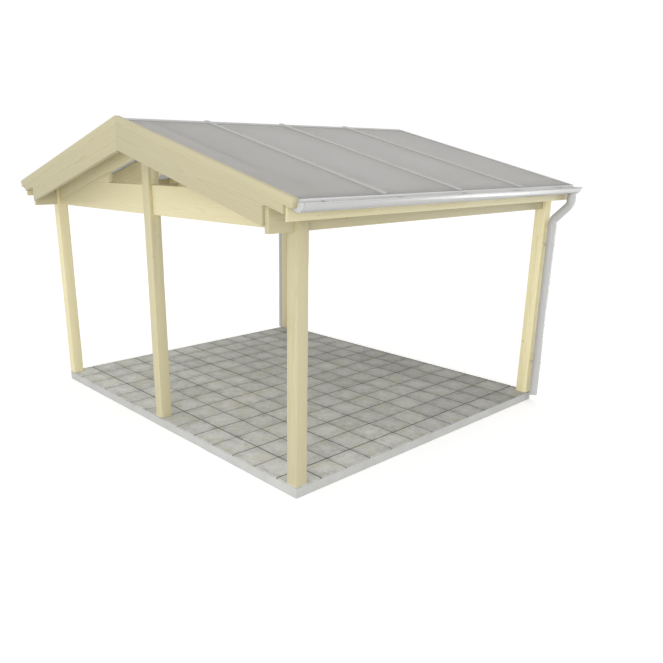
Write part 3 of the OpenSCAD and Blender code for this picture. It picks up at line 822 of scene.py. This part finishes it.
paint(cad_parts["gutter_hangers"], coated)

# ---- Downpipes ---------------------------------------------------------------
# Round downpipes of the same coated steel: a swan neck from each gutter's outlet
# in to the post, pushed into a socket on the straight pipe, which two clips hold.

SOCKET_LENGTH, SOCKET_STEP, SOCKET_EASE = 0.04, 0.0016, 0.0006
BEND_STEPS, NECK_START, PIPE_SOCKET_LENGTH = 14, 0.002, 0.06
socket_radius = PIPE_RADIUS + SOCKET_STEP
bend_x, bend_z = math.sin(BEND), math.cos(BEND)
pipe_x = pipe_low.x + PIPE_RADIUS
slant = (gutter_x - pipe_x - 2 * BEND_RADIUS * (1 - bend_z)) / bend_x


def socket(start, run):
    """A short wider sleeve round a pipe's end."""
    run = Vector(run)
    piece = ring("socket", start, socket_radius, PIPE_CORNERS, run.to_track_quat("Z", "Y").to_euler())
    push(*run)
    middle, axis = Vector(start), run.normalized()

    def outward(face):
        """How far a face looks away from the pipe's axis."""
        offset = face.center - middle
        return (offset - axis * offset.dot(axis)).dot(face.normal)

    wall(piece, SOCKET_STEP, outward)
    ease_edges(piece, SOCKET_EASE, 1, SHARP)
    return piece


def bend(centre, angle):
    """Turns the selected pipe end about a centre into a bend; the spin turns left-handed."""
    bpy.ops.mesh.spin(steps=BEND_STEPS, angle=-angle, center=centre, axis=(0, 1, 0))


# The swan neck starts inside its upper socket, bends in, and slants to the second bend.
neck = ring("neck", (gutter_x, pipe_y, neck_z + NECK_START), PIPE_RADIUS, PIPE_CORNERS)
push(0, 0, -NECK_START)
bend((gutter_x - BEND_RADIUS, pipe_y, neck_z), BEND)
push(-bend_x * slant, 0, -bend_z * slant)
bend_end = Vector((gutter_x - BEND_RADIUS * (1 - bend_z) - bend_x * slant, pipe_y,
                   neck_z - BEND_RADIUS * bend_x - bend_z * slant))
wall(neck, PIPE_SHEET, lambda face: (face.center - Vector((gutter_x, pipe_y, neck_z))).dot(face.normal))
along = Vector((-bend_x, 0, -bend_z))
neck_right = joined("neck_right", [
    neck, socket((gutter_x, pipe_y, neck_z + SOCKET_LENGTH), (0, 0, -SOCKET_LENGTH)),
    socket(bend_end - along * SOCKET_LENGTH, along * SOCKET_LENGTH)])
neck_left = twin(neck_right, "neck_left")
necks = joined("steel_swan_necks", [neck_right, neck_left])
paint(necks, coated)
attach(necks, "root")
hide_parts("swan_necks")

# The straight pipe starts with the second bend and hangs open above the ground.
down = ring("down", bend_end, PIPE_RADIUS, PIPE_CORNERS, (0, BEND, 0))
second = bend_end + Vector((bend_z, 0, -bend_x)) * BEND_RADIUS
bend(second, -BEND)
pipe_top = second.z
push(0, 0, PIPE_END - pipe_top)
wall(down, PIPE_SHEET, lambda face: (face.center - bend_end).dot(face.normal))
pipe_right = joined("steel_downpipe_right", [
    down, socket((pipe_x, pipe_y, pipe_top), (0, 0, -PIPE_SOCKET_LENGTH))])
pipe_left = twin(pipe_right, "steel_downpipe_left")
for piece, side in ((pipe_left, "left"), (pipe_right, "right")):
    paint(piece, coated)
    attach(piece, "root")
    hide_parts("downpipe_" + side)
paint(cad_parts["pipe_clips"], coated)

# ---- Stage -------------------------------------------------------------------
# A plain pale floor under even, soft studio light.

bpy.ops.object.select_all(action="DESELECT")
bpy.ops.mesh.primitive_plane_add(size=120, location=(0, 0, -0.001))
floor = bpy.context.object
floor.name = "studio_floor"
FLOOR_GLOW = 0.34


def seen_rays(tree):
    """One for rays that see a thing straight, in gloss or through clear things, else zero."""
    rays = add(tree, "LightPath").outputs
    direct = add(tree, "Math", {"operation": "MAXIMUM"},
                 {0: rays["Is Camera Ray"], 1: rays["Is Glossy Ray"]})
    return add(tree, "Math", {"operation": "MAXIMUM"},
               {0: direct.outputs[0], 1: rays["Is Transmission Ray"]}).outputs[0]


# Painted board: plain, pale and matt.
card, tree = new_material("pale studio floor")
seen = seen_rays(tree)
lift = add(tree, "Math", {"operation": "MULTIPLY"}, {0: seen, 1: FLOOR_GLOW})
matt = add(tree, "BsdfDiffuse", {}, {"Color": grey(0.88)})
glow = add(tree, "Emission", {}, {"Strength": lift.outputs[0]})
both = add(tree, "AddShader", {}, {0: matt.outputs[0], 1: glow.outputs[0]})
add(tree, "OutputMaterial", {}, {"Surface": both.outputs[0]})
paint(floor, card)

world = bpy.data.worlds.new("studio")
bpy.context.scene.world = world
world.use_nodes = True
tree = world.node_tree
tree.nodes.clear()
seen = seen_rays(tree)
towards = add(tree, "TexCoord").outputs["Generated"]
depth = add(tree, "SeparateXYZ", {}, {"Vector": towards}).outputs["Y"]
soft = add(tree, "MapRange", {}, {"Value": depth, "From Min": -1.0, "To Min": 1.1, "To Max": 0.62})
level = add(tree, "MapRange", {}, {"Value": seen, "To Min": soft.outputs["Result"], "To Max": 1.0})
sky = add(tree, "Background", {}, {"Color": grey(1.0), "Strength": level.outputs["Result"]})
add(tree, "OutputWorld", {}, {"Surface": sky.outputs[0]})


MIDDLE = Vector((0, 0, 1.3))


def lamp(name, place, size, power):
    """A large square lamp that points at the middle of the frame."""
    data = bpy.data.lights.new(name, "AREA")
    data.size = size
    data.energy = power
    thing = bpy.data.objects.new(name, data)
    bpy.context.collection.objects.link(thing)
    thing.location = place
    thing.rotation_euler = (MIDDLE - thing.location).to_track_quat("-Z", "Y").to_euler()
    return thing


lamp("key", (7.5, -11.5, 3.0), 5.0, 340)
lamp("side", (10.0, 1.5, 5.5), 4.0, 60)
lamp("fill", (-8.0, 6.0, 3.0), 4.0, 110)
lamp("rim", (8.85, 10.0, 1.3), 2.2, 60)

# A long low lamp beside the slab shows only as gloss, on the gutter's front.
glint = lamp("glint", (6.0, 6.8, 0.05), 1.5, 330)
glint.data.shape = "RECTANGLE"
glint.data.size_y = 7.2
glint.rotation_euler = (math.radians(180), 0, math.radians(-38.8))
glint.visible_diffuse = False
glint.visible_camera = False

# The camera stands outside the right-hand front corner, about 2.6 m above the ground.
camera_data = bpy.data.cameras.new("camera")
camera = bpy.data.objects.new("camera", camera_data)
bpy.context.collection.objects.link(camera)
camera.location = (5.7329, -4.9787, 2.6381)
camera.rotation_euler = (math.radians(90 - 17.4554), 0, math.radians(48.5227))
camera_data.sensor_width = 36
camera_data.sensor_fit = "HORIZONTAL"
camera_data.lens = 36.667
camera_data.shift_x = 0.06603
camera_data.shift_y = 0.05863
bpy.context.scene.camera = camera
bpy.context.scene.view_settings.view_transform = "Standard"
